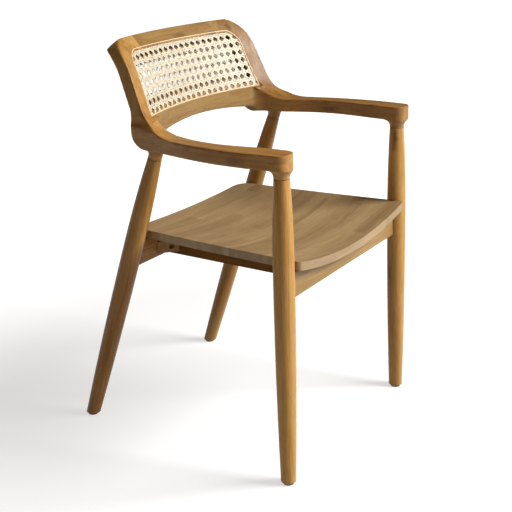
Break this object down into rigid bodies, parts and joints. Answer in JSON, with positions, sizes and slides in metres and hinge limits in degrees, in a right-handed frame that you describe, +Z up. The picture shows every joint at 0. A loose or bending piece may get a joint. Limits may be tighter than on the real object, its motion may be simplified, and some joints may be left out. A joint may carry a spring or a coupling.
{
  "type": "armchair",
  "caption": "Wooden armchair with turned legs, arms that sweep up into a curved back frame caned on both faces, and a dished plank seat",
  "frame": {"origin": "on the floor, under the middle of the bounding box", "axes": "+X to the sitter's left, +Y to the rear, +Z up; the chair is the same on both sides of the plane X = 0"},
  "size_m": [0.5248, 0.574, 0.84],
  "materials": {
    "frame_wood": "satin oil",
    "seat_wood": "satin oil",
    "hidden_wood": "bare",
    "cane": "bare cane",
    "glide_plastic": "matte",
    "steel": "zinc"
  },
  "bodies": {
    "root": {"front_leg_left": "frame_wood", "front_leg_right": "frame_wood", "rear_leg_left": "frame_wood", "rear_leg_right": "frame_wood", "arm_left": "frame_wood", "arm_right": "frame_wood", "back_post_left": "frame_wood", "back_post_right": "frame_wood", "top_rail": "frame_wood", "lower_back_rail": "frame_wood", "front_apron": "frame_wood", "rear_apron": "frame_wood", "seat_rail_left": "frame_wood", "seat_rail_right": "frame_wood", "seat_board_1": "seat_wood", "seat_board_2": "seat_wood", "seat_board_3": "seat_wood", "seat_board_4": "seat_wood", "seat_board_5": "seat_wood", "cane_front": "cane", "cane_rear": "cane", "cane_spline_front": "cane", "cane_spline_rear": "cane", "glue_blocks": "hidden_wood", "arm_post_dowels": "hidden_wood", "top_rail_dowels": "hidden_wood", "lower_rail_dowels": "hidden_wood", "glue_block_screws": "steel", "seat_screws": "steel", "glide_nails": "steel", "foot_glides": "glide_plastic"}
  },
  "joints": []
}
